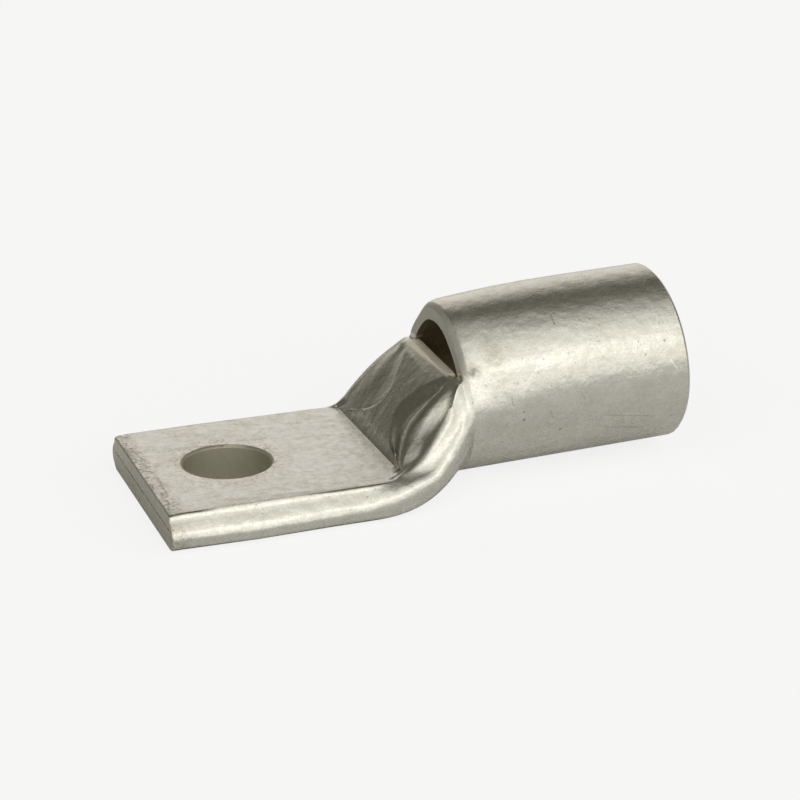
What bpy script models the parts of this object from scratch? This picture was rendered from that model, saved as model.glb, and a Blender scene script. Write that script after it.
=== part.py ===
"""A compression lug: one length of tinned copper tube, its far end pressed flat and drilled.

Sizes are in millimetres. X runs along the lug from the pad's end to the tube's mouth, Z is up,
and the underside of the pad lies at Z = 0. The origin is below the middle of the whole lug.

The tube is lofted by hand, because its section changes from a round tube to a flat stack of
two walls. A station is a distance along the lug from the pad's end. At every station the
outside and the bore each have one closed outline, and both outlines have the same number of
points, so that the walls join up at the mouth, at the pad's end and round the window.
"""

import math

import bmesh
import bpy

MM = 0.001

# The tube
TUBE_DIAMETER = 28.0
WALL = 2.85

# Lengths along the lug
PAD_LENGTH = 36.1
RAMP_LENGTH = 11.9
BARREL_LENGTH = 37.3

# The flattened pad
PAD_FLAT_WIDTH = 33.4
PAD_SIDE_BULGE = 2.6
PAD_SIDE_POWER = 2.6
PAD_END_ROUND = 0.25
PAD_END_DROOP = 0.15
PAD_END_WORN = 2.0
PAD_END_SKEW_DEGREES = 0.65
PAD_HOLE_SPREAD = 0.35
PAD_HOLE_SPREAD_LENGTH = 12.0
SEAM_GAP = 0.12
SEAM_MOUTH = 0.36

# The bolt hole
BOLT_HOLE_DIAMETER = 13.5
BOLT_HOLE_TO_END = 13.6
BOLT_HOLE_ROLLOVER = 0.3
BOLT_HOLE_ROLLOVER_DEPTH = 0.45
CUTTER_OVERRUN = 3.0

# The ramp, where the top wall comes down from the window to the pad
RAMP_CROWN = 0.3
RAMP_FOOT_EASE = 1.6
RAMP_FOOT_EASE_REACH = 0.3
DIE_STRIP = 0.9
DIE_STRIP_SLOPE = 0.45
DIE_STRIP_LEAST = 0.15
PRESS_SKEW_DEGREES = 2.3

# The fold in the wall to spare, on both sides of the ramp: its width as a share of the ramp's
# half width, and then its own section, from the shoulder inwards
FOLD_WIDTH = 0.82
FOLD_WIDTH_AT_FOOT = 0.15
FOLD_WIDTH_AT_LIP = 0.3
FOLD_WIDEST_CLIMB = 0.47
FOLD_POWER = 1.6
FOLD_SIDE_REACH = 0.45
FOLD_SIDE_FADE = 0.15
FOLD_FADE_IN = 0.2
FOLD_FADE_IN_BORE = 0.5
FOLD_FADE_OUT = 0.16
SHOULDER_DROP = 0.2
SHOULDER_REACH = 0.45
VALLEY_DEPTH = 1.2
VALLEY_PLACE = 0.74
VALLEY_REACH = 0.28
GROOVE_DEPTH = 0.85
GROOVE_PLACE = -0.18
GROOVE_REACH = 0.17

# The sides, which draw in from the pad's width to the tube's
FLARE_LENGTH = 18.0
FLARE_POWER = 2.8
FLARE_POWER_BORE = 1.9
SHOULDER_POWER = 2.1
SHOULDER_POWER_BORE = 1.45
SHOULDER_SHARE = 0.333
SHOULDER_HEAD_SHARE = 0.4
KNUCKLE_OVERRUN = 1.2

# The lip, the sheared upper edge of the ramp
LIP_WIDTH = 22.8
LIP_HEIGHT = 18.6
LIP_DROOP = 0.6
LIP_SETBACK = 1.15
LIP_CHAMFER = 1.4
LIP_CHAMFER_POWER = 2.5
LIP_REACH = 1.1

# The window, and the tube's own edge over it, rolled in where the top wall was sheared off
WINDOW_WIDTH = 18.4
SLIT_GAP = 0.2
RIM_RADIUS = 12.05
RIM_FLATTENING = 0.75
RIM_BORE_RADIUS = 10.1
RIM_BORE_FLATTENING = 0.3
RIM_FLAT_PLACE = 0.4
RIM_START_DEGREES = 78.0
RIM_ROLL_LENGTH = 2.0
RIM_ROLL_POWER = 2.5
RIM_SAG_SHARE = 0.56
RIM_SAG_LENGTH = 22.0

# The mouth, sawn a little out of square, on a barrel that rises slightly from the pad's plane
MOUTH_CHAMFER = 0.5
MOUTH_BORE_CHAMFER = 0.4
MOUTH_SKEW_DEGREES = 2.5
BARREL_RISE_DEGREES = 1.5

# How finely the loft is cut, in steps round each half of the section and along the ramp
STEPS_UNDER = 8
STEPS_SIDE = 12
STEPS_FOLD = 12
STEPS_CROWN = 8
STEPS_RAMP = 18
STEPS_BORE_SKIPS = 2
STEPS_BOLT_HOLE = 64
SPREAD_SHARES = (-0.5, 0.0, 0.5, 1.0)
BEND_SHARES = (0.0, 0.5, 0.7, 0.86, 1.0)
ROLL_SHARES = (0.0, 0.15, 0.35, 1.0)
SAG_SHARES = (0.2, 0.35, 0.55, 0.75, 1.0)

TIN_COLOUR = (0.56, 0.54, 0.49, 1.0)
TIN_ROUGHNESS = 0.38
SHARP_EDGE_DEGREES = 30.0
MERGE_DISTANCE = 0.00001

STEPS_TOP = STEPS_FOLD + STEPS_CROWN
HALF = STEPS_UNDER + STEPS_SIDE + STEPS_TOP
AROUND = 2 * HALF
CORNER = STEPS_UNDER + STEPS_SIDE
EVEN_WIDTH = STEPS_FOLD / STEPS_TOP

RADIUS = TUBE_DIAMETER / 2
BORE_RADIUS = RADIUS - WALL
PAD_THICKNESS = 2 * WALL + SEAM_GAP
HALF_FLAT = PAD_FLAT_WIDTH / 2
CREASE = PAD_LENGTH
WINDOW = PAD_LENGTH + RAMP_LENGTH
RIM = WINDOW + SLIT_GAP
MOUTH = WINDOW + BARREL_LENGTH
KNUCKLE = WINDOW + KNUCKLE_OVERRUN
FLARE_START = KNUCKLE - FLARE_LENGTH
RAMP_SLOPE = math.atan2(LIP_HEIGHT - PAD_THICKNESS, RAMP_LENGTH - LIP_SETBACK)
RISE = math.radians(BARREL_RISE_DEGREES)
MOUTH_SKEW = math.tan(math.radians(MOUTH_SKEW_DEGREES))
PRESS_SKEW = math.tan(math.radians(PRESS_SKEW_DEGREES))
PAD_END_SKEW = math.tan(math.radians(PAD_END_SKEW_DEGREES))
RIM_START = math.radians(RIM_START_DEGREES)


def clamp(value):
    return min(max(value, 0.0), 1.0)


def smooth(value):
    value = clamp(value)
    return value * value * (3 - 2 * value)


def hump(value, centre, reach):
    """A rounded bump of height 1 at the centre that ends within its reach on both sides."""
    return 0.5 + 0.5 * math.cos(math.pi * clamp(abs(value - centre) / reach))


def mix(first, second, share):
    return first + (second - first) * share


class Spot:
    """Where one of the loft's long lines lies in a half section, as shares from 0 to 1.

    It lies so far across the underside, up the side, and over the top from the shoulder to the
    middle. The lines that carry the fold stay within its width, which changes along the ramp.
    """

    def __init__(self, step, width=EVEN_WIDTH):
        self.under = clamp(step / STEPS_UNDER)
        self.side = clamp((step - STEPS_UNDER) / STEPS_SIDE)
        self.fold = max(step - CORNER, 0) / STEPS_FOLD
        crown = clamp((step - CORNER - STEPS_FOLD) / STEPS_CROWN)
        self.top = mix(width * clamp(self.fold), 1.0, crown)

    def off_shoulder(self):
        """Rises from 0 at the shoulder to 1 some way in to the middle of the top."""
        return smooth(self.top / SHOULDER_SHARE)

    def foot_ease(self):
        """How far the ramp's foot is rounded here: fully at the shoulder, not at all inside it."""
        return 1 - smooth(self.fold / RAMP_FOOT_EASE_REACH)


class Skin:
    """The outside or the bore: how its section looks in the pad, in the tube and at the window."""

    def __init__(self, radius, rim_radius, flattening, corner_width, pad_low, pad_bulge, lip_height):
        self.radius = radius
        self.rim_radius = rim_radius
        self.flattening = flattening
        self.pad_low = pad_low
        self.pad_bulge = pad_bulge
        self.lip_height = lip_height
        corner_y = corner_width / 2
        corner_z = LIP_HEIGHT - LIP_DROOP - RADIUS
        self.corner_radius = math.hypot(corner_y, corner_z)
        self.corner_angle = math.pi / 2 + math.atan2(corner_z, corner_y)

    def pad_outline(self, spot, inset=0.0):
        """The flattened section, from the middle of the underside round to the middle of the top."""
        low = self.pad_low + inset
        high = PAD_THICKNESS - low
        if spot.side == 0:
            return HALF_FLAT * spot.under, low
        if spot.top > 0:
            return HALF_FLAT * (1 - spot.top), high
        rise = math.sin(math.pi * (spot.side - 0.5))
        bulge = self.pad_bulge * (1 - abs(rise) ** PAD_SIDE_POWER)
        return HALF_FLAT + bulge, mix(low, high, 0.5 + rise / 2)

    def angle(self, spot):
        """The angle from the tube's lowest line at which a point of the section lies when round."""
        under = math.pi * HALF_FLAT / (2 * HALF_FLAT + math.pi * PAD_THICKNESS / 2)
        if spot.side == 0:
            return under * spot.under
        return mix(mix(under, self.corner_angle, spot.side), math.pi, spot.top)

    def rim(self, spot):
        """The radius of the tube's edge at the window, full below and a pointed arch over the top."""
        drawn = smooth((self.angle(spot) - RIM_START) / (self.corner_angle - RIM_START))
        corner = mix(self.radius, self.corner_radius, drawn)
        flattened = self.flattening * hump(spot.top, RIM_FLAT_PLACE, RIM_FLAT_PLACE)
        return mix(corner, self.rim_radius, smooth(spot.top)) - flattened

    def round_outline(self, spot, radius):
        angle = self.angle(spot)
        return radius * math.sin(angle), RADIUS - radius * math.cos(angle)

    def lip_outline(self, spot):
        """The section at the window's foot: round below, with the top wall pressed to one level."""
        if spot.top == 0:
            return self.round_outline(spot, self.rim(spot))
        corner_y = self.corner_radius * math.sin(self.corner_angle)
        corner_z = RADIUS - self.corner_radius * math.cos(self.corner_angle)
        return corner_y * (1 - spot.top), mix(corner_z, self.lip_height, spot.off_shoulder())


OUTSIDE = Skin(RADIUS, RIM_RADIUS, RIM_FLATTENING, LIP_WIDTH, 0.0, PAD_SIDE_BULGE, LIP_HEIGHT)
BORE = Skin(
    BORE_RADIUS,
    RIM_BORE_RADIUS,
    RIM_BORE_FLATTENING,
    WINDOW_WIDTH,
    WALL,
    SEAM_GAP / 2,
    LIP_HEIGHT - WALL * math.cos(RAMP_SLOPE),
)


def flare(skin, station, spot):
    """How far a point has drawn in from the pad's outline to the tube's: shoulders before sides.

    The bore starts at the crease, as the pad's two walls lie on each other up to there.
    """
    start = FLARE_START
    power = mix(FLARE_POWER, SHOULDER_POWER, spot.side)
    if skin is BORE:
        start = CREASE
        power = mix(FLARE_POWER_BORE, SHOULDER_POWER_BORE, spot.side)
    end = mix(KNUCKLE, WINDOW, spot.side)
    return clamp((station - start) / (end - start)) ** power


def side_height(sides, climb, spot):
    """The lower half of the side rises as it draws in, and its upper edge climbs with the ramp."""
    return mix(sides, climb, smooth(2 * spot.side - 1))


def ramp(station, foot, head, ease=0.0):
    """How far the top wall has climbed from the pad to the lip, steeper at its foot."""
    gone = station - foot
    if abs(gone) < ease:
        gone = (gone + ease) ** 2 / (4 * ease)
    along = clamp(gone / (head - foot))
    return along * (1 + RAMP_CROWN * (1 - along))


def fold_width(climb):
    """The fold starts as a point at the pad's corner and is widest half way up the ramp."""
    if climb < FOLD_WIDEST_CLIMB:
        away = 1 - climb / FOLD_WIDEST_CLIMB
        return mix(FOLD_WIDTH, FOLD_WIDTH_AT_FOOT, away**FOLD_POWER)
    away = (climb - FOLD_WIDEST_CLIMB) / (1 - FOLD_WIDEST_CLIMB)
    return mix(FOLD_WIDTH, FOLD_WIDTH_AT_LIP, away**FOLD_POWER)


def fold(skin, spot, climb):
    """How deep the wall to spare lies below the ramp: a valley, a low bump, a groove outside it."""
    across = spot.fold - (1 - spot.side)
    depth = SHOULDER_DROP * smooth((1 - across) / SHOULDER_REACH)
    depth += VALLEY_DEPTH * hump(across, VALLEY_PLACE, VALLEY_REACH)
    if skin is OUTSIDE:
        depth += GROOVE_DEPTH * hump(across, GROOVE_PLACE, GROOVE_REACH)
    depth *= smooth((across + FOLD_SIDE_REACH) / FOLD_SIDE_FADE)
    fade_in = FOLD_FADE_IN if skin is OUTSIDE else FOLD_FADE_IN_BORE
    return depth * smooth(climb / fade_in) * smooth((1 - climb) / FOLD_FADE_OUT)


def formed_outline(skin, station, spot, climb):
    """Between the flat section and the round one: the sides follow the flare, the top the ramp."""
    flat_y, flat_z = skin.pad_outline(spot)
    round_y, round_z = skin.lip_outline(spot)
    sides = flare(skin, station, spot)
    height = side_height(sides, climb, spot)
    return mix(flat_y, round_y, sides), mix(flat_z, round_z, height) - fold(skin, spot, climb)


def placed(station, y, z):
    """From a place along the lug to the part's frame: beyond the crease the section leans back."""
    lean = RISE * clamp((station - CREASE) / RAMP_LENGTH)
    beyond = max(station - WINDOW, 0.0)
    along = min(station, WINDOW) + beyond * math.cos(RISE)
    return (along - z * math.sin(lean), y, beyond * math.sin(RISE) + z * math.cos(lean))


def ring_of(point, width=EVEN_WIDTH):
    """All points of a closed outline, from its half: up one side and back down the other."""
    spots = [Spot(step, width) for step in range(HALF + 1)]
    right = [point(spot, 1) for spot in spots]
    left = [point(spot, -1) for spot in spots[HALF - 1 : 0 : -1]]
    return right + left


def end_ring(station, inset):
    """The outside near the pad's end, where its edges are rounded and its top has sagged."""

    def point(spot, side):
        y, z = OUTSIDE.pad_outline(spot, inset)
        y *= 1 - inset / HALF_FLAT
        droop = PAD_END_DROOP * smooth(spot.side)
        return placed(station + PAD_END_SKEW * side * y, side * y, z - droop)

    return ring_of(point)


def seam_end_ring(station, gap):
    """The seam between the two walls, seen at the pad's end."""

    def point(spot, side):
        y, z = BORE.pad_outline(spot)
        opened = (z - PAD_THICKNESS / 2) * gap / SEAM_GAP
        return placed(station + PAD_END_SKEW * side * y, side * y, PAD_THICKNESS / 2 + opened)

    return ring_of(point)


def strip_ring():
    """A narrow strip that the die left along the crease, wide at one side, nothing at the other."""

    def point(spot, side):
        across = clamp(0.5 - side * OUTSIDE.pad_outline(spot)[0] / PAD_FLAT_WIDTH)
        width = DIE_STRIP * mix(DIE_STRIP_LEAST, 1.0, across)
        climb = width * DIE_STRIP_SLOPE / (LIP_HEIGHT - PAD_THICKNESS)
        eased = ramp(CREASE + width, CREASE, WINDOW, RAMP_FOOT_EASE)
        y, z = formed_outline(OUTSIDE, CREASE + width, spot, mix(climb, eased, spot.foot_ease()))
        return placed(CREASE + width + PRESS_SKEW * side * y, side * y, z)

    return ring_of(point, FOLD_WIDTH_AT_FOOT)


def pressed_ring(skin, station, reach, foot):
    """A section between the pad and the window, off square as the press stood askew."""
    along = clamp((station - CREASE) / RAMP_LENGTH)
    bend = smooth((station - FLARE_START) / (CREASE - FLARE_START))
    width = mix(EVEN_WIDTH, fold_width(ramp(station, foot, WINDOW)), bend)

    def point(spot, side):
        here = station + reach * spot.off_shoulder() * along
        head = WINDOW + mix(min(reach, 0) * SHOULDER_HEAD_SHARE, reach, spot.off_shoulder())
        climb = ramp(here, foot, head, RAMP_FOOT_EASE * spot.foot_ease())
        y, z = formed_outline(skin, here, spot, climb)
        skew = mix(PAD_END_SKEW, PRESS_SKEW, clamp(station / CREASE))
        skew *= mix(1 - along, 1.0, spot.off_shoulder())
        y *= 1 + PAD_HOLE_SPREAD / HALF_FLAT * hump(station, BOLT_HOLE_TO_END, PAD_HOLE_SPREAD_LENGTH)
        return placed(here + skew * side * y, side * y, z)

    return ring_of(point, width)


def outer_ring(station):
    return pressed_ring(OUTSIDE, station, -LIP_SETBACK, CREASE)


def bore_ring(station):
    return pressed_ring(BORE, station, LIP_REACH, CREASE + WALL * math.tan(RAMP_SLOPE / 2))


def tube_radius(skin, spot, away):
    """The radius at a distance from the window: the rim recovers fast at first, then slowly."""
    drop = skin.radius - skin.rim(spot)
    sagged = (1 - clamp(away / RIM_SAG_LENGTH)) ** 2
    if skin is BORE:
        return skin.radius - drop * sagged
    rolled = (1 - clamp(away / RIM_ROLL_LENGTH)) ** RIM_ROLL_POWER
    return skin.radius - drop * mix(rolled, sagged, RIM_SAG_SHARE)


def barrel_ring(skin, station, widened=0.0, skew=0.0):
    """A section between the window and the mouth."""
    away = station - RIM

    def point(spot, side):
        y, z = skin.round_outline(spot, tube_radius(skin, spot, away) + widened)
        if spot.side < 1:
            flat_y, flat_z = skin.pad_outline(spot)
            sides = flare(skin, station, spot)
            y = mix(flat_y, y, sides)
            z = mix(flat_z, z, side_height(sides, 1.0, spot))
        return placed(station - (z - RADIUS) * skew, side * y, z)

    return ring_of(point, mix(FOLD_WIDTH_AT_LIP, EVEN_WIDTH, smooth(away / RIM_SAG_LENGTH)))


def add_ring(mesh, points):
    return [mesh.verts.new([value * MM for value in point]) for point in points]


def bridge(mesh, first, second, steps):
    """Faces between two rings, over the given steps only."""
    for step in steps:
        after = (step + 1) % AROUND
        corners = [first[step], first[after], second[after], second[step]]
        mesh.faces.new(dict.fromkeys(corners))


def loft(mesh, rings):
    for first, second in zip(rings, rings[1:]):
        bridge(mesh, first, second, range(AROUND))


def shear(mesh, ring, points):
    """The far edge of the window's slit: new corners over the top, the old ones elsewhere."""
    fresh = list(ring)
    for step in range(CORNER + 1, AROUND - CORNER):
        fresh[step] = mesh.verts.new([value * MM for value in points[step]])
    return fresh


def barrel_rings(mesh, lip, skin, stations, mouth_chamfer, widened):
    """From the window to the mouth, with the mouth's edge chamfered."""
    rings = [barrel_ring(skin, station) for station in stations]
    rings += [barrel_ring(skin, MOUTH - mouth_chamfer, 0.0, MOUTH_SKEW)]
    rings += [barrel_ring(skin, MOUTH, widened, MOUTH_SKEW)]
    return [shear(mesh, lip, rings[0])] + [add_ring(mesh, points) for points in rings[1:]]


def build_tube(mesh):
    """The outside and the bore, up to the window and beyond it."""
    first = CREASE + DIE_STRIP
    climbing = [mix(first, WINDOW, step / STEPS_RAMP) for step in range(1, STEPS_RAMP + 1)]

    outer = [end_ring(0.0, PAD_END_ROUND), end_ring(PAD_END_ROUND, 0.0)]
    spread = [BOLT_HOLE_TO_END + PAD_HOLE_SPREAD_LENGTH * share for share in SPREAD_SHARES]
    bend = [mix(FLARE_START, CREASE, share) for share in BEND_SHARES]
    outer += [outer_ring(station) for station in [PAD_END_WORN] + spread + bend]
    outer += [strip_ring()]
    outer += [outer_ring(station) for station in climbing]
    outer = [add_ring(mesh, points) for points in outer]

    bore = [seam_end_ring(0.0, SEAM_MOUTH), seam_end_ring(SEAM_MOUTH, SEAM_GAP)]
    inner = [FLARE_START, CREASE] + climbing[STEPS_BORE_SKIPS - 1 :: STEPS_BORE_SKIPS]
    bore += [bore_ring(station) for station in inner]
    bore = [add_ring(mesh, points) for points in bore]

    rolls = [RIM + RIM_ROLL_LENGTH * share for share in ROLL_SHARES]
    sags = [RIM + RIM_SAG_LENGTH * share for share in SAG_SHARES]
    outside = sorted(rolls + [KNUCKLE] + sags)
    barrel = barrel_rings(mesh, outer[-1], OUTSIDE, outside, MOUTH_CHAMFER, -MOUTH_CHAMFER)
    inside = [RIM, KNUCKLE] + sags
    throat = barrel_rings(mesh, bore[-1], BORE, inside, MOUTH_BORE_CHAMFER, MOUTH_BORE_CHAMFER)

    for rings in (outer, bore, barrel, throat):
        loft(mesh, rings)
    bridge(mesh, outer[0], bore[0], range(AROUND))
    bridge(mesh, barrel[-1], throat[-1], range(AROUND))
    return outer[-1], barrel[0], bore[-1], throat[0]


def close_window(mesh, lip, rim, lip_bore, rim_bore):
    """The sheared faces: the lip's, with its upper edge bevelled, and the tube's own rim."""
    first = CORNER
    last = AROUND - CORNER
    lip_middle = {}
    rim_middle = {}
    for step in range(first, last + 1):
        lip_middle[step] = mesh.verts.new((lip[step].co + lip_bore[step].co) / 2)
        if step in (first, last):
            rim_middle[step] = lip_middle[step]
            continue
        bevelled = lip[step].co.copy()
        bevelled.x += LIP_CHAMFER * MM
        spot = Spot(min(step, AROUND - step), FOLD_WIDTH_AT_LIP)
        weight = spot.off_shoulder() ** LIP_CHAMFER_POWER
        lip_middle[step].co = lip_middle[step].co.lerp(bevelled, weight)
        rim_middle[step] = mesh.verts.new((rim[step].co + rim_bore[step].co) / 2)
    over = range(first, last)
    bridge(mesh, lip, lip_middle, over)
    bridge(mesh, lip_middle, lip_bore, over)
    bridge(mesh, rim, rim_middle, over)
    bridge(mesh, rim_middle, rim_bore, over)


def centre_over_origin(mesh):
    """Moves the lug along X, so that the origin is below the middle of its length."""
    along = [vertex.co.x for vertex in mesh.verts]
    middle = (min(along) + max(along)) / 2
    bmesh.ops.translate(mesh, verts=mesh.verts, vec=(-middle, 0, 0))
    return middle


def new_collection(name):
    collection = bpy.data.collections.new(name)
    bpy.context.scene.collection.children.link(collection)
    return collection


def tin():
    material = bpy.data.materials.new("tinned_copper")
    material.use_nodes = True
    shader = material.node_tree.nodes["Principled BSDF"]
    shader.inputs["Base Color"].default_value = TIN_COLOUR
    shader.inputs["Metallic"].default_value = 1.0
    shader.inputs["Roughness"].default_value = TIN_ROUGHNESS
    return material


def make_lug(collection):
    mesh = bmesh.new()
    lip, rim, lip_bore, rim_bore = build_tube(mesh)
    close_window(mesh, lip, rim, lip_bore, rim_bore)
    middle = centre_over_origin(mesh)
    bmesh.ops.recalc_face_normals(mesh, faces=mesh.faces)
    data = bpy.data.meshes.new("compression_lug")
    mesh.to_mesh(data)
    mesh.free()
    data.materials.append(tin())
    data.shade_smooth()
    data.set_sharp_from_angle(angle=math.radians(SHARP_EDGE_DEGREES))
    lug = bpy.data.objects.new("compression_lug", data)
    collection.objects.link(lug)
    return lug, BOLT_HOLE_TO_END * MM - middle


def make_bolt_hole_cutter(collection, x):
    """A turned cutter, a little wider at the pad's top face, where the punch drew the edge in."""
    radius = BOLT_HOLE_DIAMETER / 2
    mouth = radius + BOLT_HOLE_ROLLOVER
    high = PAD_THICKNESS + CUTTER_OVERRUN
    profile = [(0, high), (mouth, high), (mouth, PAD_THICKNESS)]
    profile += [(radius, PAD_THICKNESS - BOLT_HOLE_ROLLOVER_DEPTH)]
    profile += [(radius, -CUTTER_OVERRUN), (0, -CUTTER_OVERRUN)]
    data = bpy.data.meshes.new("bolt_hole_cutter")
    points = [(along * MM, 0, height * MM) for along, height in profile]
    data.from_pydata(points, [(start, start + 1) for start in range(len(points) - 1)], [])
    cutter = bpy.data.objects.new("bolt_hole_cutter", data)
    cutter.location.x = x
    cutter.hide_render = True
    cutter.display_type = "WIRE"
    collection.objects.link(cutter)
    screw = cutter.modifiers.new("turn", "SCREW")
    screw.steps = STEPS_BOLT_HOLE
    screw.render_steps = STEPS_BOLT_HOLE
    screw.use_merge_vertices = True
    screw.merge_threshold = MERGE_DISTANCE
    return cutter


def drill(lug, cutter):
    hole = lug.modifiers.new("bolt_hole", "BOOLEAN")
    hole.operation = "DIFFERENCE"
    hole.solver = "EXACT"
    hole.object = cutter


def main():
    for old in list(bpy.data.objects):
        bpy.data.objects.remove(old)
    lug, hole_x = make_lug(new_collection("compression_lug"))
    cutter = make_bolt_hole_cutter(new_collection("cutters"), hole_x)
    drill(lug, cutter)


main()
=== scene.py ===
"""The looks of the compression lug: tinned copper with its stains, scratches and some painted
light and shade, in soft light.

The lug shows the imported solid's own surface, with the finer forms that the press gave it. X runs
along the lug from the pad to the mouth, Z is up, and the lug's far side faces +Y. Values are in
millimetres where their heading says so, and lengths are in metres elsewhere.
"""

import math
from types import SimpleNamespace

import bmesh
import bpy
from mathutils import Euler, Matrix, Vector

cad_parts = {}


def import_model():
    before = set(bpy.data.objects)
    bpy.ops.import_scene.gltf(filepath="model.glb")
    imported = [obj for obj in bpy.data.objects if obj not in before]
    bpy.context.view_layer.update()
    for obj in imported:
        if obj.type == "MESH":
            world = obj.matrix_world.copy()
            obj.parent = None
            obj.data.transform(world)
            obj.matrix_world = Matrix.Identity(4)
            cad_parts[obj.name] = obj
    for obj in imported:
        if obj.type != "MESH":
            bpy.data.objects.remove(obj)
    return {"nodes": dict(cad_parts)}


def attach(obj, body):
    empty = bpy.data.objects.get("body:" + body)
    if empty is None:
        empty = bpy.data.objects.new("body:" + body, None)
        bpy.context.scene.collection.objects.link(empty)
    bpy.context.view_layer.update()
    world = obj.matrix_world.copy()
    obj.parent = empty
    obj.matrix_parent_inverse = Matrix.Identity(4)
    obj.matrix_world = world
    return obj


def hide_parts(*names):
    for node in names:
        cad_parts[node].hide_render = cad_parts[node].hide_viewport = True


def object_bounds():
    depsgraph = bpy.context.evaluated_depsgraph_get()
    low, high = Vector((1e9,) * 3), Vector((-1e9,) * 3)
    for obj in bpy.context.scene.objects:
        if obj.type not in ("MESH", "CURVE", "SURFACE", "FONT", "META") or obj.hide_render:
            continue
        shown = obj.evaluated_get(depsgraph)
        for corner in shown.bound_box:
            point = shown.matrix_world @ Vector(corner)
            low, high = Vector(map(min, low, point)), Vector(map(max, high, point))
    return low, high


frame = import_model()
cad_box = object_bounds()

MM = 0.001

# The photograph's view
CAMERA_PLACE_MM = (-125.32, -335.46, 146.67)
CAMERA_TURN_DEGREES = (69.372, 0.255, -20.422)
CAMERA_LENS = 110.75
CAMERA_SENSOR = 36.0
CAMERA_CLIP = (0.01, 20.0)

# How the solid's surface is cleaned and its hard edges are rounded
WELD_DISTANCE = 0.001 * MM
SLIVER = 0.01 * MM
SHARP_ANGLE = math.radians(33)
EDGE_ROUND = 0.09 * MM
EDGE_SEGMENTS = 2

# Places on the lug, in millimetres
PAD_END_X = cad_box[0].x / MM
PAD_TOP_Z = 5.82
HOLE_X = PAD_END_X + 13.82
HOLE_RADIUS = 6.75
CREASE_X = PAD_END_X + 36.1
BARREL_AXIS_Z = 14.5
BORE_RADIUS = 11.15

# Where edges are rounded, where they are shaded smooth and where they stay sharp, in millimetres
ROUNDED_FROM_X = 2.5
SMOOTH_X = (-5.8, 2.3)
CREASE_LINE_X = (-7.6, -5.85)
CREASE_LINE_Z = (5.8, 6.25)
CREASE_LINE_HALF_WIDTH = 15.0

# The pad's side from its top edge round to the underside, by the angle gone, in millimetres
SIDE_START_Y = 16.7
SIDE_FADE_X = (-13.0, -7.0)
SIDE_REACH = ((0.0, 0.0), (0.785, 0.35), (1.57, 0.68), (2.04, 0.82), (2.45, 0.82), (3.1416, 0.3))
SIDE_HEIGHT = (
    (0.0, PAD_TOP_Z), (0.785, 4.5), (1.57, 3.2), (2.04, 2.1), (2.45, 0.95), (3.1416, 0.0),
)
SIDE_TOP_TURN = 0.3
SIDE_TOP_RATIO = 0.47
SIDE_LEAST_SINE = 0.3
SIDE_MARGIN = 0.01

# The ramp from the crease up to the lip, in millimetres. The last two values say how squarely a
# face has to point off the ramp, or to the near side, to be an outer one
RAMP_FOOT = Vector((-6.94, 0, PAD_TOP_Z))
RAMP_ALONG = Vector((10.26, 0, 12.78)).normalized()
RAMP_OUT = Vector((-RAMP_ALONG.z, 0, RAMP_ALONG.x))
RAMP_LENGTH = 16.39
RAMP_SKEW = 0.0313
RAMP_FACING = 0.1
NEAR_SIDE_FACING = 0.2

# The near shoulder, in millimetres: how far from the middle its crest and its edge lie at each
# share of the climb, how far it falls at each share of the way from crest to edge, and the corner
# at its foot, where its fold is eased
CREST_Y = ((0.0, 15.0), (0.27, 12.7), (0.40, 10.6), (0.59, 11.2), (0.79, 11.5), (1.0, 10.8))
SHOULDER_Y = ((0.0, 16.3), (0.43, 15.3), (0.79, 13.7), (0.94, 12.6), (1.0, 11.4))
SHOULDER_FALL = ((0.0, 0.0), (0.08, 0.1), (0.42, 1.2), (0.6, 1.35), (1.0, 1.7))
FALL_STARTS_AT_CLIMB = 0.02
FALL_GROWS_OVER_CLIMB = 0.25
FALL_ENDS_OVER_CLIMB = 0.35
FALL_WHOLE_DEPTH = 1.0
FALL_FADE_DEPTH = 6.0
FOOT_CORNER = Vector((-5.9, -15.3, 6.2))
FOOT_REACH = 2.0
FOOT_PASSES = 5

# The dish on the ramp's far half, in millimetres and in shares of the climb or of its own width
FAR_DISH_START_Y = 3.0
FAR_PEAK_FROM_Y = 9.0
FAR_DISH_DEPTH = 2.2
FAR_DISH_CLIMB = (0.06, 0.97)
FAR_DISH_FADE_STARTS = 0.03
FAR_DISH_FADES_OVER = 0.07
FAR_DISH_SOFT_SHARE = 0.8
FAR_DISH_STEPS = 20
FAR_DISH_PASSES = 25

# The hollow behind the window's rolled edge, in millimetres
HOLLOW_X = 6.9
HOLLOW_HALF_LENGTH = 1.2
HOLLOW_Z = 18.8
HOLLOW_REACH = 5.0
HOLLOW_DEPTH = 0.35
HOLLOW_AXIS_Z = 14.0
HOLLOW_BEYOND_RADIUS = 11.8

# The band of tin down the bolt hole's wall, in millimetres
HOLE_BAND_RADIUS = 6.735
HOLE_BAND_Z = (0.15, 5.3)
HOLE_BAND_STEPS = 128


class Socket:
    """A shader socket, or a plain number, that can be used in sums."""

    def __init__(self, shader, link):
        self.shader = shader
        self.link = link

    def maths(self, operation, *others):
        inputs = dict(enumerate((self,) + others))
        return self.shader.node("ShaderNodeMath", {"operation": operation}, inputs)

    def __add__(self, other):
        return self.maths("ADD", other)

    def __radd__(self, other):
        return self.maths("ADD", other)

    def __sub__(self, other):
        return self.maths("SUBTRACT", other)

    def __rsub__(self, other):
        return Socket(self.shader, other).maths("SUBTRACT", self)

    def __mul__(self, other):
        return self.maths("MULTIPLY", other)

    def __rmul__(self, other):
        return self.maths("MULTIPLY", other)

    def __abs__(self):
        return self.maths("ABSOLUTE")

    def __neg__(self):
        return self.maths("MULTIPLY", -1.0)


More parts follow.
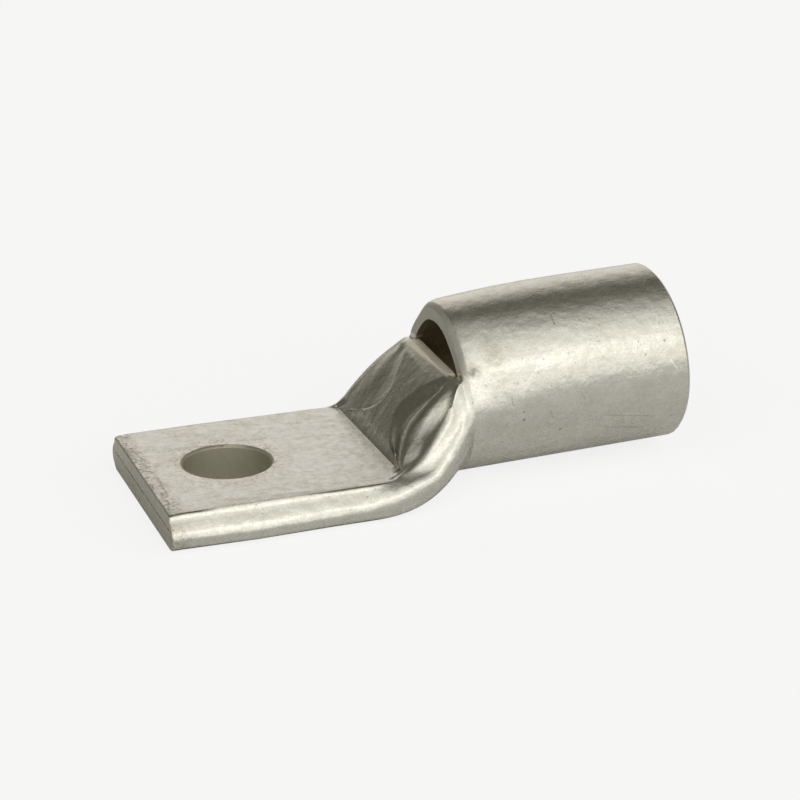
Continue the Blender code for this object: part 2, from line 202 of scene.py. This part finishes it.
class Shader:
    """Adds nodes to one material or world."""

    def __init__(self, tree):
        self.tree = tree
        tree.nodes.clear()

    def node(self, kind, settings=None, inputs=None, output=0):
        """A node of this kind: its settings first, then the values and links of its sockets."""
        made = self.tree.nodes.new(kind)
        for name, value in (settings or {}).items():
            setattr(made, name, value)
        for name, value in (inputs or {}).items():
            if isinstance(value, Socket):
                value = value.link
            if isinstance(value, bpy.types.NodeSocket):
                self.tree.links.new(value, made.inputs[name])
            else:
                made.inputs[name].default_value = value
        return Socket(self, made.outputs[output]) if made.outputs else None

    def place(self, kind):
        """Where a point lies, or how its surface faces."""
        return self.node("ShaderNodeTexCoord", output=kind)

    def ray_is(self, kind):
        return self.node("ShaderNodeLightPath", output="Is " + kind + " Ray")

    def vector(self, operation, *inputs, output=0):
        settings = {"operation": operation}
        return self.node("ShaderNodeVectorMath", settings, dict(enumerate(inputs)), output)

    def scaled(self, place, factor):
        inputs = {0: place, "Scale": factor}
        return self.node("ShaderNodeVectorMath", {"operation": "SCALE"}, inputs)

    def distance(self, first, second):
        return self.vector("DISTANCE", first, second, output="Value")

    def axes(self, place):
        split = self.node("ShaderNodeSeparateXYZ", {}, {0: place}).link.node
        return [Socket(self, axis) for axis in split.outputs]

    def joined(self, *axes):
        return self.node("ShaderNodeCombineXYZ", {}, dict(enumerate(axes)))

    def noise(self, place, scale, detail, roughness, output="Fac"):
        inputs = {"Vector": place, "Scale": scale, "Detail": detail, "Roughness": roughness}
        return self.node("ShaderNodeTexNoise", {}, inputs, output)

    def pattern(self, place, scale, detail, roughness, low, high):
        """Patches of noise, from 0 where it is under the low value to 1 above the high one."""
        return self.between(self.noise(place, scale, detail, roughness), low, high)

    def between(self, value, low, high):
        """0 up to the low value, 1 from the high one, and a smooth rise between them."""
        inputs = {"Value": value, "From Min": low, "From Max": high}
        return self.node("ShaderNodeMapRange", {"interpolation_type": "SMOOTHSTEP"}, inputs)

    def before(self, value, low, high):
        """1 up to the low value and 0 from the high one."""
        return 1 - self.between(value, low, high)

    def near(self, value, reach):
        """1 at zero and 0 from the reach on."""
        return self.before(value, 0.0, reach)

    def spot(self, place, centre, radius):
        return self.near(self.distance(place, Vector(centre)), radius)

    def line(self, place, start, end, width):
        """1 along a straight mark from start to end, 0 beside it."""
        start = Vector(start)
        along = Vector(end) - start
        gone = self.vector("SUBTRACT", place, start)
        share = self.vector("DOT_PRODUCT", gone, along / along.length_squared, output="Value")
        share = share.maths("MAXIMUM", 0.0).maths("MINIMUM", 1.0)
        return self.near(self.distance(gone, self.scaled(along, share)), width)

    def blend(self, share, first, second):
        """The first colour, with this share of the second over it."""
        inputs = {0: share, 6: first, 7: second}
        return self.node("ShaderNodeMix", {"data_type": "RGBA"}, inputs, 2)


def strongest(masks):
    """The highest of several masks at each point."""
    found = masks[0]
    for mask in masks[1:]:
        found = found.maths("MAXIMUM", mask)
    return found


def colour(red, green, blue):
    return (red, green, blue, 1.0)


TIN = colour(0.615, 0.603, 0.55)
# The pad's top face is painted lighter than the rest of the tin: a painted highlight
PAD_TIN_PAINTED_LIGHTER = colour(0.70, 0.685, 0.65)
# The ramp is painted darker than the rest of the tin: painted shade
RAMP_TIN_PAINTED_DARKER = colour(0.50, 0.49, 0.43)
# Olive film, and also the painted shade on the pad's end face and along its top edges
OLIVE_FILM_AND_SHADE = colour(0.36, 0.34, 0.26)
BROWN_STAIN = colour(0.27, 0.20, 0.13)
# Dark specks, scratches and dots, and also the painted shade in the hollow behind the window
DARK_SPECK_AND_SHADE = colour(0.10, 0.08, 0.055)
HOLE_WALL = colour(0.43, 0.405, 0.32)
BORE_WALL = colour(0.42, 0.35, 0.24)
LIP_FACE = colour(1.0, 0.95, 0.84)
RIM_FACE = colour(0.50, 0.485, 0.43)
BRIGHT_SCRATCH = colour(0.85, 0.84, 0.80)

# Where the finishes and the painted light and shade change, in millimetres: a pair says where a
# change starts and where it ends
PAD_ENDS_X = (CREASE_X - 1.0, CREASE_X + 0.5)
TOP_FACE_Z = (PAD_TOP_Z - 0.35, PAD_TOP_Z - 0.1)
TOP_EDGE_Y = 16.75
TOP_EDGE_WIDTH = 0.3
TOP_EDGE_Z = (5.2, 5.6)
END_STAIN_X = (PAD_END_X + 1.0, PAD_END_X + 3.6)
END_FACE_X = (-40.5, -39.5)
CORNER_Y = (16.9, 17.4)
HOLE_WALL_REACH = (HOLE_RADIUS + 0.25, HOLE_RADIUS + 0.5)
HOLE_STAIN_WIDTH = 5.0
RAMP_ENDS_X = (3.6, 4.6)
RAMP_FADES_Y = (10.0, 15.0)
LIP_STARTS_X = (2.9, 3.4)
LIP_ENDS_X = (5.9, 6.4)
LIP_STARTS_Z = (16.2, 16.6)
LIP_ENDS_Z = (18.8, 19.1)
LIP_FADES_Y = (8.6, 9.2)
RIM_STARTS_X = (4.2, 4.5)
RIM_ENDS_X = (7.2, 7.6)
RIM_STARTS_Z = (18.9, 19.2)
BARREL_STARTS_X = (6.0, 11.0)
BORE_STARTS_X = (4.9, 5.3)
BORE_WALL_REACH = (BORE_RADIUS + 0.3, BORE_RADIUS + 0.6)

# How squarely the sheared rim and the pad's end face the pad's end
RIM_FACING = (0.5, 0.7)
END_FACING = (0.7, 0.9)

# Patterns in the tin: their noise's scale per millimetre, its detail and roughness, and the
# values between which they rise
CLOUDS = (0.22, 4.0, 0.6, 0.40, 0.68)
MOTTLING = (0.9, 3.0, 0.6, 0.35, 0.70)
GRIT = (4.5, 3.0, 0.65, 0.42, 0.68)
FRECKLES = (1.5, 3.0, 0.65, 0.50, 0.66)
FINE_FRECKLES = (3.2, 2.0, 0.6, 0.56, 0.68)
SPECKS = (2.4, 2.0, 0.5, 0.67, 0.73)
SPECK_FIELDS = (0.35, 2.0, 0.5, 0.42, 0.62)

# Plain noise: its scale per millimetre, its detail and roughness
DRAWN_LINES = (1.3, 3.0, 0.55)
GRAIN = (2.2, 4.0, 0.7)
RIPPLES = (0.42, 3.0, 0.5)
WEAR = (0.7, 3.0, 0.6)
JITTER = (1.2, 2.0, 0.5)

# The lines that drawing the tube left: how much slower they change along it than across it, and
# the values between which they rise
DRAWN_ALONG = 0.12
DRAWN_LINES_SHOW = (0.5, 0.75)

# The least roughness of the tin, and the noise that is neither high nor low
BASE_ROUGHNESS = 0.18
NOISE_MIDDLE = Vector((0.5, 0.5, 0.5))

# Heights and depths of the fine relief, and how far marks stray, in millimetres
GRAIN_HEIGHT = 0.028
RIPPLE_HEIGHT = 0.13
DRAWN_LINE_HEIGHT = 0.022
PIT_DEPTH = 0.05
SPECK_DEPTH = 0.02
SCRATCH_DEPTH = 0.04
DOT_DEPTH = 0.03
JITTER_REACH = 0.3

# A stain beside the window, and painted shade in the hollow behind its rolled edge, in
# millimetres, each a place with its radius
WINDOW_STAIN = ((10.2, -11.2, 21.4), 2.6)
HOLLOW_PAINTED_SHADE = ((6.5, -11.5, 19.6), 1.7)

# Marks on the tin, in millimetres, each from one place to another, with its width
DARK_SCRATCHES = (
    ((20.8, -7.8, 25.9), (20.8, -9.2, 24.8), 0.22),
    ((12.0, -13.7, 15.2), (12.2, -13.9, 13.9), 0.16),
    ((18.4, -13.9, 12.4), (18.8, -13.6, 11.3), 0.2),
    ((23.4, -14.0, 14.6), (24.1, -14.0, 13.6), 0.18),
    ((28.3, -13.3, 10.2), (36.6, -12.5, 8.6), 0.14),
    ((28.4, -12.2, 7.8), (34.5, -11.4, 6.7), 0.16),
    ((-41.6, 9.4, 5.8), (-41.1, 4.3, 5.8), 0.3),
    ((-40.8, -2.4, 5.8), (-41.1, -5.8, 5.8), 0.3),
    ((-41.1, -5.8, 5.8), (-41.3, -9.9, 5.8), 0.22),
)
BRIGHT_SCRATCHES = (
    ((30.5, -7.6, 26.4), (32.9, -8.3, 26.1), 0.26),
    ((38.6, -13.6, 18.0), (39.7, -13.9, 16.6), 0.26),
)
# Dark dots, in millimetres, each a place with its radius
DOTS = (
    ((-41.5, -10.0, 5.8), 0.4),
    ((-40.0, -11.6, 5.8), 0.35),
    ((13.9, -13.9, 12.9), 0.3),
    ((14.0, -13.7, 11.5), 0.4),
    ((20.5, -12.8, 8.8), 0.45),
    ((34.5, -13.3, 19.3), 0.35),
    ((38.0, -12.6, 21.0), 0.35),
    ((-38.9, -18.6, 4.7), 0.45),
    ((-31.4, -19.6, 2.8), 0.6),
    ((-21.0, -19.4, 3.4), 0.45),
)


def regions(shader, place):
    """Masks that say on which part of the lug a point lies."""
    x, y, z = shader.axes(place)
    between = shader.between
    before = shader.before
    from_middle = abs(y)
    to_pad_end = -shader.axes(shader.place("Normal"))[0]
    where = SimpleNamespace()

    on_pad = before(x, *PAD_ENDS_X)
    where.on_top = between(z, *TOP_FACE_Z) * on_pad
    # A band along the pad's top edges that gets a dark line of painted shade
    where.top_edge = shader.near(abs(from_middle - TOP_EDGE_Y), TOP_EDGE_WIDTH) * on_pad
    where.top_edge *= between(z, *TOP_EDGE_Z)
    where.at_end = before(x, *END_STAIN_X)
    # The pad's end face, which gets painted shade
    where.end_face = between(to_pad_end, *END_FACING) * before(x, *END_FACE_X)
    where.corner = where.at_end * between(from_middle, *CORNER_Y)

    from_hole = shader.distance(shader.joined(x, y), Vector((HOLE_X, 0, 0)))
    where.in_hole = before(from_hole, *HOLE_WALL_REACH) * on_pad
    where.round_hole = shader.near(from_hole - HOLE_RADIUS, HOLE_STAIN_WIDTH) * where.on_top

    where.on_ramp = (1 - on_pad) * before(x, *RAMP_ENDS_X) * before(from_middle, *RAMP_FADES_Y)
    where.on_lip = before(x, *LIP_ENDS_X) * between(z, *LIP_STARTS_Z) * between(x, *LIP_STARTS_X)
    where.on_lip *= before(z, *LIP_ENDS_Z) * before(from_middle, *LIP_FADES_Y)
    where.on_rim = before(x, *RIM_ENDS_X) * between(z, *RIM_STARTS_Z) * between(x, *RIM_STARTS_X)
    where.on_rim *= between(to_pad_end, *RIM_FACING)

    where.on_barrel = between(x, *BARREL_STARTS_X)
    from_axis = shader.distance(shader.joined(y, z), Vector((0, BARREL_AXIS_Z, 0)))
    where.in_bore = before(from_axis, *BORE_WALL_REACH) * between(x, *BORE_STARTS_X)
    where.in_bore *= 1 - where.on_lip
    return where


def patterns(shader, place):
    """The tin's own patterns, all over the lug."""
    x, y, z = shader.axes(place)
    return SimpleNamespace(
        clouds=shader.pattern(place, *CLOUDS),
        mottling=shader.pattern(place, *MOTTLING),
        grit=shader.pattern(place, *GRIT),
        freckles=shader.pattern(place, *FRECKLES),
        fine=shader.pattern(place, *FINE_FRECKLES),
        specks=shader.pattern(place, *SPECKS) * shader.pattern(place, *SPECK_FIELDS),
        drawn_lines=shader.noise(shader.joined(x * DRAWN_ALONG, y, z), *DRAWN_LINES),
    )


def single_marks(shader, place):
    """Scratches and dots, with edges that stray a little."""
    jitter = shader.vector("SUBTRACT", shader.noise(place, *JITTER, "Color"), NOISE_MIDDLE)
    loose = shader.vector("ADD", place, shader.scaled(jitter, JITTER_REACH))
    return SimpleNamespace(
        dark=strongest([shader.line(loose, *mark) for mark in DARK_SCRATCHES]),
        bright=strongest([shader.line(loose, *mark) for mark in BRIGHT_SCRATCHES]),
        dots=strongest([shader.spot(loose, *dot) for dot in DOTS]),
    )


def stained_and_shaded_tin(shader, place, where, tin, marks):
    """The tin's colour, with its film, stains, marks, the tones of its inner faces, and painted
    light and shade.
    """
    freckles = tin.freckles
    fine = tin.fine
    mottling = tin.mottling
    drawn_lines = shader.between(tin.drawn_lines, *DRAWN_LINES_SHOW)
    window_stain = shader.spot(place, *WINDOW_STAIN)
    hollow_painted_shade = shader.spot(place, *HOLLOW_PAINTED_SHADE)
    dark = strongest([tin.specks * 0.5, marks.dark * 0.3, marks.dots * 0.6])
    layers = (
        # painted highlight: the pad's top face made lighter
        (where.on_top, PAD_TIN_PAINTED_LIGHTER),
        # painted shade: the ramp made darker
        (where.on_ramp * 0.8, RAMP_TIN_PAINTED_DARKER),
        (mottling * 0.2 + tin.clouds * 0.14, OLIVE_FILM_AND_SHADE),
        (drawn_lines * where.on_barrel * 0.15, OLIVE_FILM_AND_SHADE),
        (tin.grit * 0.3, OLIVE_FILM_AND_SHADE),
        (window_stain * (0.25 + mottling * 0.45), OLIVE_FILM_AND_SHADE),
        (where.round_hole * freckles * 0.6, BROWN_STAIN),
        (where.on_top * (tin.clouds * freckles * 0.35 + fine * 0.12), BROWN_STAIN),
        (where.at_end * where.on_top * (0.1 + freckles * 0.6 + fine * 0.35), BROWN_STAIN),
        # painted shade in the hollow behind the window's rolled edge
        (hollow_painted_shade * (0.55 + mottling * 0.35), DARK_SPECK_AND_SHADE),
        # painted shade: the pad's end face made darker
        (where.end_face * 0.8, OLIVE_FILM_AND_SHADE),
        (where.corner * (0.15 + freckles * 0.6 + fine * 0.2), BROWN_STAIN),
        # painted shade: a dark line along the pad's top edges, with freckles
        (where.top_edge * (0.45 + freckles * 0.3), OLIVE_FILM_AND_SHADE),
        (dark, DARK_SPECK_AND_SHADE),
        (marks.bright * 0.6, BRIGHT_SCRATCH),
        (where.in_hole, HOLE_WALL),
        (where.in_bore, BORE_WALL),
        (where.on_lip, LIP_FACE),
        (where.on_rim, RIM_FACE),
    )
    tint = TIN
    for share, over in layers:
        tint = shader.blend(share, tint, over)
    return tint


def fine_relief(shader, place, where, tin, marks):
    grain = shader.noise(place, *GRAIN) * GRAIN_HEIGHT
    ripples = shader.noise(place, *RIPPLES) * RIPPLE_HEIGHT
    lines = tin.drawn_lines * where.on_barrel * DRAWN_LINE_HEIGHT
    pits = where.at_end * where.on_top * tin.freckles * -PIT_DEPTH - tin.specks * SPECK_DEPTH
    height = grain + ripples + lines + pits
    height = height - marks.dark * SCRATCH_DEPTH - marks.dots * DOT_DEPTH
    return shader.node("ShaderNodeBump", {}, {"Strength": 1.0, "Distance": MM, "Height": height})


def tinned_copper():
    material = bpy.data.materials.new("tinned_copper")
    material.use_nodes = True
    shader = Shader(material.node_tree)
    place = shader.scaled(shader.place("Object"), 1 / MM)
    where = regions(shader, place)
    tin = patterns(shader, place)
    marks = single_marks(shader, place)
    sheared = where.on_lip.maths("MAXIMUM", where.on_rim)
    worn = shader.noise(place, *WEAR) * 0.16 + tin.mottling * 0.04
    dull = where.on_top * 0.06 + where.in_hole * 0.4 + where.in_bore * 0.25 + sheared * 0.35
    surface = {
        "Base Color": stained_and_shaded_tin(shader, place, where, tin, marks),
        "Metallic": 1.0,
        "Roughness": worn + BASE_ROUGHNESS + dull,
        "Normal": fine_relief(shader, place, where, tin, marks),
    }
    metal = shader.node("ShaderNodeBsdfPrincipled", {}, surface)
    shader.node("ShaderNodeOutputMaterial", {}, {"Surface": metal})
    return material


def clamp(value):
    return min(max(value, 0.0), 1.0)


def smooth(value):
    value = clamp(value)
    return value * value * (3 - 2 * value)


def read_off(curve, value):
    """The height of a curve of straight pieces, given by its points."""
    for (left, low), (right, high) in zip(curve, curve[1:]):
        if value < right:
            return low + (high - low) * clamp((value - left) / (right - left))
    return curve[-1][1]


def smooth_out(mesh, vertices, passes, direction):
    """Smooths these vertices, but moves them only along the direction."""
    before = [vertex.co.copy() for vertex in vertices]
    for step in range(passes):
        bmesh.ops.smooth_vert(
            mesh,
            verts=vertices,
            factor=0.5,
            use_axis_x=True,
            use_axis_y=True,
            use_axis_z=True,
        )
    for vertex, place in zip(vertices, before):
        vertex.co = place + direction * (vertex.co - place).dot(direction)


def place_on_ramp(vertex):
    """A vertex's place from the ramp's foot, its share of the climb and its height over it."""
    place = vertex.co / MM - RAMP_FOOT
    return place, place.dot(RAMP_ALONG) / RAMP_LENGTH, place.dot(RAMP_OUT)


def round_near_shoulder(mesh):
    """Lets the near shoulder fall off roundly from the fold's crest to the lug's side."""
    for vertex in mesh.verts:
        place, climb, height = place_on_ramp(vertex)
        if place.y > 0 or not 0 < climb < 1:
            continue
        if vertex.normal.dot(RAMP_OUT) <= RAMP_FACING and vertex.normal.y >= -NEAR_SIDE_FACING:
            continue
        crest = read_off(CREST_Y, climb)
        edge = read_off(SHOULDER_Y, climb)
        beyond = (-place.y - crest) / (edge - crest)
        if beyond <= 0:
            continue
        fall = read_off(SHOULDER_FALL, beyond)
        fall *= (
            smooth((climb - FALL_STARTS_AT_CLIMB) / FALL_GROWS_OVER_CLIMB)
            * smooth((1 - climb) / FALL_ENDS_OVER_CLIMB)
        )
        fall *= 1 - smooth((-height - FALL_WHOLE_DEPTH) / FALL_FADE_DEPTH)
        vertex.co -= RAMP_OUT * fall * MM


def dish_far_side(mesh):
    """On its far side the ramp rises smoothly to the shoulder, without a groove."""
    found = []
    peaks = {}
    for vertex in mesh.verts:
        place, climb, height = place_on_ramp(vertex)
        rise = height + place.y * RAMP_SKEW
        if place.y < FAR_DISH_START_Y or rise < -FAR_DISH_DEPTH:
            continue
        if not FAR_DISH_CLIMB[0] < climb < FAR_DISH_CLIMB[1]:
            continue
        if vertex.normal.dot(RAMP_OUT) < RAMP_FACING:
            continue
        step = int(climb * FAR_DISH_STEPS)
        found.append((vertex, place.y, climb, rise))
        if place.y > FAR_PEAK_FROM_Y and (step not in peaks or rise > peaks[step][1]):
            peaks[step] = (place.y, rise)
    curve = [((step + 0.5) / FAR_DISH_STEPS, peak) for step, peak in sorted(peaks.items())]
    peak_y = [(climb, peak[0]) for climb, peak in curve]
    peak_rise = [(climb, peak[1]) for climb, peak in curve]
    soft = []
    for vertex, across, climb, rise in found:
        reach = read_off(peak_y, climb) - FAR_DISH_START_Y
        share = (across - FAR_DISH_START_Y) / reach
        if 0 < share < 1:
            wanted = max(read_off(peak_rise, climb), 0) * share ** 2
            raised = max(wanted - rise, 0)
            raised *= smooth((climb - FAR_DISH_FADE_STARTS) / FAR_DISH_FADES_OVER)
            vertex.co += RAMP_OUT * raised * MM
        if 0 < share < FAR_DISH_SOFT_SHARE:
            soft.append(vertex)
    smooth_out(mesh, soft, FAR_DISH_PASSES, RAMP_OUT)


def steepen_sides(mesh):
    """The pad's sides start with a crease at the top face and are widest near the underside."""
    for vertex in mesh.verts:
        place = vertex.co / MM
        share = 1 - smooth((place.x - SIDE_FADE_X[0]) / (SIDE_FADE_X[1] - SIDE_FADE_X[0]))
        bulge = abs(place.y) - SIDE_START_Y
        if share <= 0 or bulge <= 0 or not -SIDE_MARGIN < place.z < PAD_TOP_Z + SIDE_MARGIN:
            continue
        turn = math.acos(min(max(2 * place.z / PAD_TOP_Z - 1, -1.0), 1.0))
        ratio = read_off(SIDE_REACH, turn) / max(math.sin(turn), SIDE_LEAST_SINE)
        if turn < SIDE_TOP_TURN:
            ratio = SIDE_TOP_RATIO
        target_y = math.copysign(SIDE_START_Y + bulge * ratio, place.y)
        target_z = read_off(SIDE_HEIGHT, turn)
        vertex.co.y += (target_y - place.y) * share * MM
        vertex.co.z += (target_z - place.z) * share * MM


def ease_foot_corner(mesh):
    """Smooths the tight fold where the near shoulder starts at the pad's corner."""
    centre = FOOT_CORNER * MM
    close = [vertex for vertex in mesh.verts if (vertex.co - centre).length < FOOT_REACH * MM]
    smooth_out(mesh, close, FOOT_PASSES, Vector((0, 0, 1)))


def press_behind_rim(mesh):
    """The shallow hollow that leaves the window's rolled edge standing as a bead."""
    for vertex in mesh.verts:
        place = vertex.co / MM
        away = abs(place.x - HOLLOW_X) / HOLLOW_HALF_LENGTH
        outwards = Vector((0, place.y, place.z - HOLLOW_AXIS_Z))
        if place.y > 0 or away > 1 or outwards.length < HOLLOW_BEYOND_RADIUS:
            continue
        round_it = 1 - smooth(abs(place.z - HOLLOW_Z) / HOLLOW_REACH)
        inwards = -outwards.normalized()
        vertex.co += inwards * HOLLOW_DEPTH * (1 - smooth(away)) * round_it * MM


def line_hole(mesh):
    """A thin band of tin down the bolt hole's wall, over the seam between the pad's walls."""
    rings = []
    for height in HOLE_BAND_Z:
        ring = []
        for step in range(HOLE_BAND_STEPS):
            turn = 2 * math.pi * step / HOLE_BAND_STEPS
            across = HOLE_BAND_RADIUS * math.cos(turn)
            place = Vector((HOLE_X + across, HOLE_BAND_RADIUS * math.sin(turn), height))
            ring.append(mesh.verts.new(place * MM))
        rings.append(ring)
    lower, upper = rings
    for step in range(HOLE_BAND_STEPS):
        after = (step + 1) % HOLE_BAND_STEPS
        mesh.faces.new((lower[after], lower[step], upper[step], upper[after]))


def weigh_edges(mesh):
    """Picks the hard edges that are rounded: those at the window and at the mouth."""
    weights = mesh.edges.layers.float.new("bevel_weight_edge")
    for edge in mesh.edges:
        middle = (edge.verts[0].co + edge.verts[1].co) / 2 / MM
        if middle.x > ROUNDED_FROM_X and edge.calc_face_angle(0.0) > SHARP_ANGLE:
            edge[weights] = 1.0


def form_skin(data):
    """Cleans the solid's surface and gives it the forms that are too fine for the solid."""
    mesh = bmesh.new()
    mesh.from_mesh(data)
    bmesh.ops.remove_doubles(mesh, verts=mesh.verts, dist=WELD_DISTANCE)
    bmesh.ops.dissolve_degenerate(mesh, dist=SLIVER, edges=mesh.edges)
    mesh.normal_update()
    round_near_shoulder(mesh)
    dish_far_side(mesh)
    steepen_sides(mesh)
    ease_foot_corner(mesh)
    press_behind_rim(mesh)
    line_hole(mesh)
    weigh_edges(mesh)
    mesh.to_mesh(data)
    mesh.free()


def is_on_crease(place):
    along = CREASE_LINE_X[0] < place.x < CREASE_LINE_X[1]
    up = CREASE_LINE_Z[0] < place.z < CREASE_LINE_Z[1]
    return along and up and abs(place.y) < CREASE_LINE_HALF_WIDTH


def shade_skin(data):
    """Shades the skin smooth, apart from its hard edges and the crease at the ramp's foot."""
    data.shade_smooth()
    data.set_sharp_from_angle(angle=SHARP_ANGLE)
    for edge in data.edges:
        ends = [data.vertices[index].co / MM for index in edge.vertices]
        if all(is_on_crease(place) for place in ends):
            edge.use_edge_sharp = True
        elif all(SMOOTH_X[0] < place.x < SMOOTH_X[1] for place in ends):
            edge.use_edge_sharp = False


def lug_skin(solid):
    """The solid's own surface, formed more finely, with its hard edges rounded a little."""
    data = solid.data.copy()
    skin = bpy.data.objects.new("lug_skin", data)
    bpy.context.scene.collection.objects.link(skin)
    form_skin(data)
    data.materials.clear()
    data.materials.append(tinned_copper())
    shade_skin(data)
    rounding = skin.modifiers.new("edge_rounding", "BEVEL")
    rounding.limit_method = "WEIGHT"
    rounding.width = EDGE_ROUND
    rounding.segments = EDGE_SEGMENTS
    normals = skin.modifiers.new("flat_faces_stay_flat", "WEIGHTED_NORMAL")
    normals.mode = "FACE_AREA_WITH_ANGLE"
    normals.keep_sharp = True
    return skin


def camera():
    data = bpy.data.cameras.new("camera")
    data.lens = CAMERA_LENS
    data.sensor_width = CAMERA_SENSOR
    data.clip_start, data.clip_end = CAMERA_CLIP
    holder = bpy.data.objects.new("camera", data)
    holder.location = [value * MM for value in CAMERA_PLACE_MM]
    holder.rotation_euler = Euler([math.radians(turn) for turn in CAMERA_TURN_DEGREES])
    bpy.context.scene.collection.objects.link(holder)
    bpy.context.scene.camera = holder


WHITE = colour(1.0, 1.0, 1.0)
FLOOR_REACH = 1.5
FLOOR_GREY = colour(0.85, 0.85, 0.85)
FLOOR_WHITE_SEEN = 0.82
FLOOR_WHITE_MIRRORED = 0.25
OPEN_FLOOR = (10 * MM, 35 * MM)


def floor():
    """A pale floor that keeps the lug's shadow and shines on the metal from in front of it."""
    data = bpy.data.meshes.new("floor")
    reach = FLOOR_REACH
    corners = [(-reach, -reach, 0), (reach, -reach, 0), (reach, reach, 0), (-reach, reach, 0)]
    data.from_pydata(corners, [], [(0, 1, 2, 3)])
    holder = bpy.data.objects.new("floor", data)
    bpy.context.scene.collection.objects.link(holder)
    material = bpy.data.materials.new("floor")
    material.use_nodes = True
    shader = Shader(material.node_tree)
    towards_front = -shader.axes(shader.place("Object"))[1]
    open_floor = shader.between(towards_front, *OPEN_FLOOR) * FLOOR_WHITE_MIRRORED
    mirrored = (shader.ray_is("Glossy") + shader.ray_is("Transmission")) * open_floor
    share = shader.ray_is("Camera") * FLOOR_WHITE_SEEN + mirrored
    grey = shader.node("ShaderNodeBsdfDiffuse", {}, {"Color": FLOOR_GREY})
    white = shader.node("ShaderNodeEmission", {}, {"Color": WHITE, "Strength": 1.0})
    both = shader.node("ShaderNodeMixShader", {}, {0: share, 1: grey, 2: white})
    shader.node("ShaderNodeOutputMaterial", {}, {"Surface": both})
    data.materials.append(material)


ROOM = (0.135, 0.131, 0.108)
FRONT_LIGHT = (1.32, 1.32, 1.29)
BACK_LIGHT = (0.92, 0.885, 0.845)
# The directions between which each light rises, by how far they point forwards, back or right
FRONT_RISES = (-0.33, 0.80)
BACK_RISES = (0.50, 0.90)
BACK_RISES_TO_RIGHT = (-0.45, 0.15)


def world():
    """A dim room with one broad soft light in front and a low one behind, to the right."""
    scene_world = bpy.data.worlds.new("world")
    scene_world.use_nodes = True
    bpy.context.scene.world = scene_world
    shader = Shader(scene_world.node_tree)
    to_right, to_back = shader.axes(shader.place("Generated"))[:2]
    front = shader.between(-to_back, *FRONT_RISES)
    back = shader.between(to_back, *BACK_RISES) * shader.between(to_right, *BACK_RISES_TO_RIGHT)
    glow = shader.vector("ADD", shader.scaled(FRONT_LIGHT, front), Vector(ROOM))
    glow = shader.vector("ADD", glow, shader.scaled(BACK_LIGHT, back))
    light = shader.node("ShaderNodeBackground", {}, {"Color": glow, "Strength": 1.0})
    white = shader.node("ShaderNodeBackground", {}, {"Color": WHITE, "Strength": 1.0})
    seen = shader.ray_is("Camera")
    both = shader.node("ShaderNodeMixShader", {}, {0: seen, 1: light, 2: white})
    shader.node("ShaderNodeOutputWorld", {}, {"Surface": both})


LAMP_PLACE = Vector((0.15, -0.70, 0.42))
LAMP_TARGET = Vector((0.0, 0.0, 0.01))
LAMP_SIZE = (0.5, 0.2)
LAMP_POWER = 0.25


def front_softbox():
    data = bpy.data.lights.new("front_softbox", "AREA")
    data.shape = "RECTANGLE"
    data.size, data.size_y = LAMP_SIZE
    data.energy = LAMP_POWER
    holder = bpy.data.objects.new("front_softbox", data)
    holder.location = LAMP_PLACE
    holder.rotation_euler = (LAMP_TARGET - LAMP_PLACE).to_track_quat("-Z", "Y").to_euler()
    bpy.context.scene.collection.objects.link(holder)


camera()
skin = lug_skin(frame["nodes"]["compression_lug"])
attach(skin, "root")
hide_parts("compression_lug")
floor()
world()
front_softbox()
bpy.context.scene.view_settings.view_transform = "Standard"
